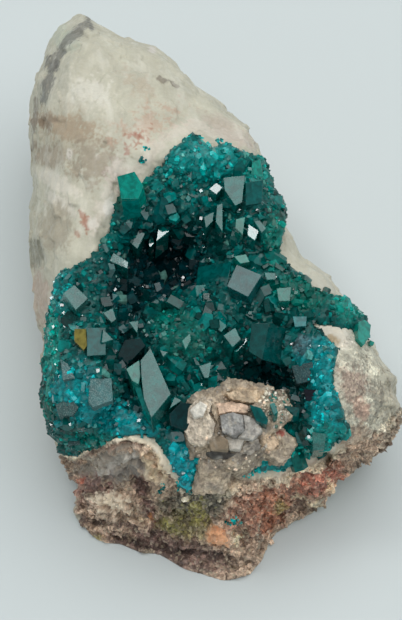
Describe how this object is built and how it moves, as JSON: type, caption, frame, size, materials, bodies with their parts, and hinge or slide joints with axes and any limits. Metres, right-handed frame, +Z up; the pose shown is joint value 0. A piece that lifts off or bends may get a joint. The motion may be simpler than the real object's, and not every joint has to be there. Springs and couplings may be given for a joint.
{
  "type": "dioptase on matrix",
  "caption": "Hand specimen: a vug lined with emerald green dioptase crystals in a pale calcite matrix, with a small cluster of grey calcite in front.",
  "frame": {"origin": "on the flat broken underside, under the middle of the specimen's plan", "axes": "+Z up out of the crystal face, +Y along the specimen towards its pointed calcite end, +X to the right as the crystal face is looked at"},
  "size_m": [0.0562, 0.0817, 0.041],
  "materials": {
    "calcite matrix": "matte",
    "dioptase": "gloss",
    "grey calcite": "satin"
  },
  "bodies": {
    "root": {"matrix": "calcite matrix", "dioptase_crust": "dioptase", "calcite_crystals": "grey calcite"}
  },
  "joints": []
}
